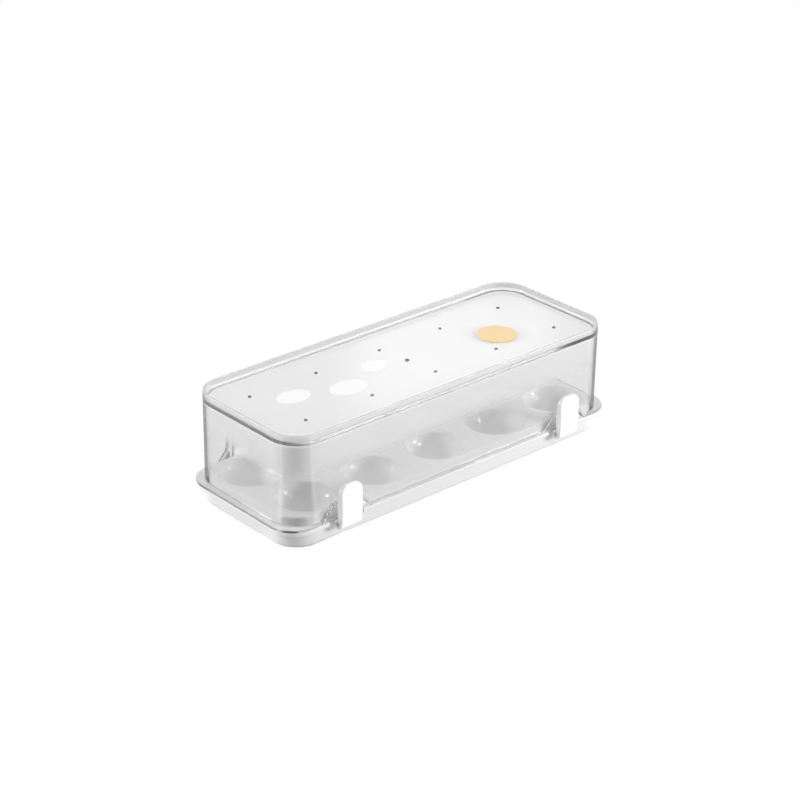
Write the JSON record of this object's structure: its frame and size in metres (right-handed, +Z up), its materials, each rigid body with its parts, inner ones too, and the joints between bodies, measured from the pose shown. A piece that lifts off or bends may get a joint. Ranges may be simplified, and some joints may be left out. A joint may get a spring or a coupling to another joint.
{
  "type": "egg keeper",
  "caption": "Long lidded box for eggs: white tub with a lift-out tray of round cups, clear flip lid on rear hinge pins, held by two front clips.",
  "frame": {"origin": "middle of the tub's underside, on the surface it stands on", "axes": "+Z up, +X along the length towards the yellow spot, front with the clips towards -Y"},
  "size_m": [0.2894, 0.116, 0.079],
  "materials": {
    "tub_white": "smooth moulded, softly glossy",
    "tray_white": "smooth moulded, glossy",
    "lid_clear": "clear, polished, misted towards the top",
    "spot_yellow": "printed label",
    "clip_white": "smooth moulded, glossy",
    "pin_steel": "drawn wire"
  },
  "bodies": {
    "base": {"base_tub": "tub_white", "egg_tray": "tray_white", "clip_pin_left": "pin_steel", "clip_pin_right": "pin_steel", "hinge_pin_left": "pin_steel", "hinge_pin_right": "pin_steel"},
    "lid": {"lid": "lid_clear", "lid_foot": "lid_clear", "lid_top": "lid_clear", "lid_spot": "spot_yellow"},
    "clip_left": {"clip_left": "clip_white"},
    "clip_right": {"clip_right": "clip_white"}
  },
  "joints": [
    {"name": "lid_hinge", "type": "hinge", "parent": "base", "child": "lid", "pos_m": [0, 0.0543, 0.0113], "axis": [-1, 0, 0], "range_deg": [0, 100]},
    {"name": "clip_left_pivot", "type": "hinge", "parent": "base", "child": "clip_left", "pos_m": [-0.097, -0.0543, 0.0113], "axis": [1, 0, 0], "range_deg": [0, 80]},
    {"name": "clip_right_pivot", "type": "hinge", "parent": "base", "child": "clip_right", "pos_m": [0.097, -0.0543, 0.0113], "axis": [1, 0, 0], "range_deg": [0, 80]}
  ]
}
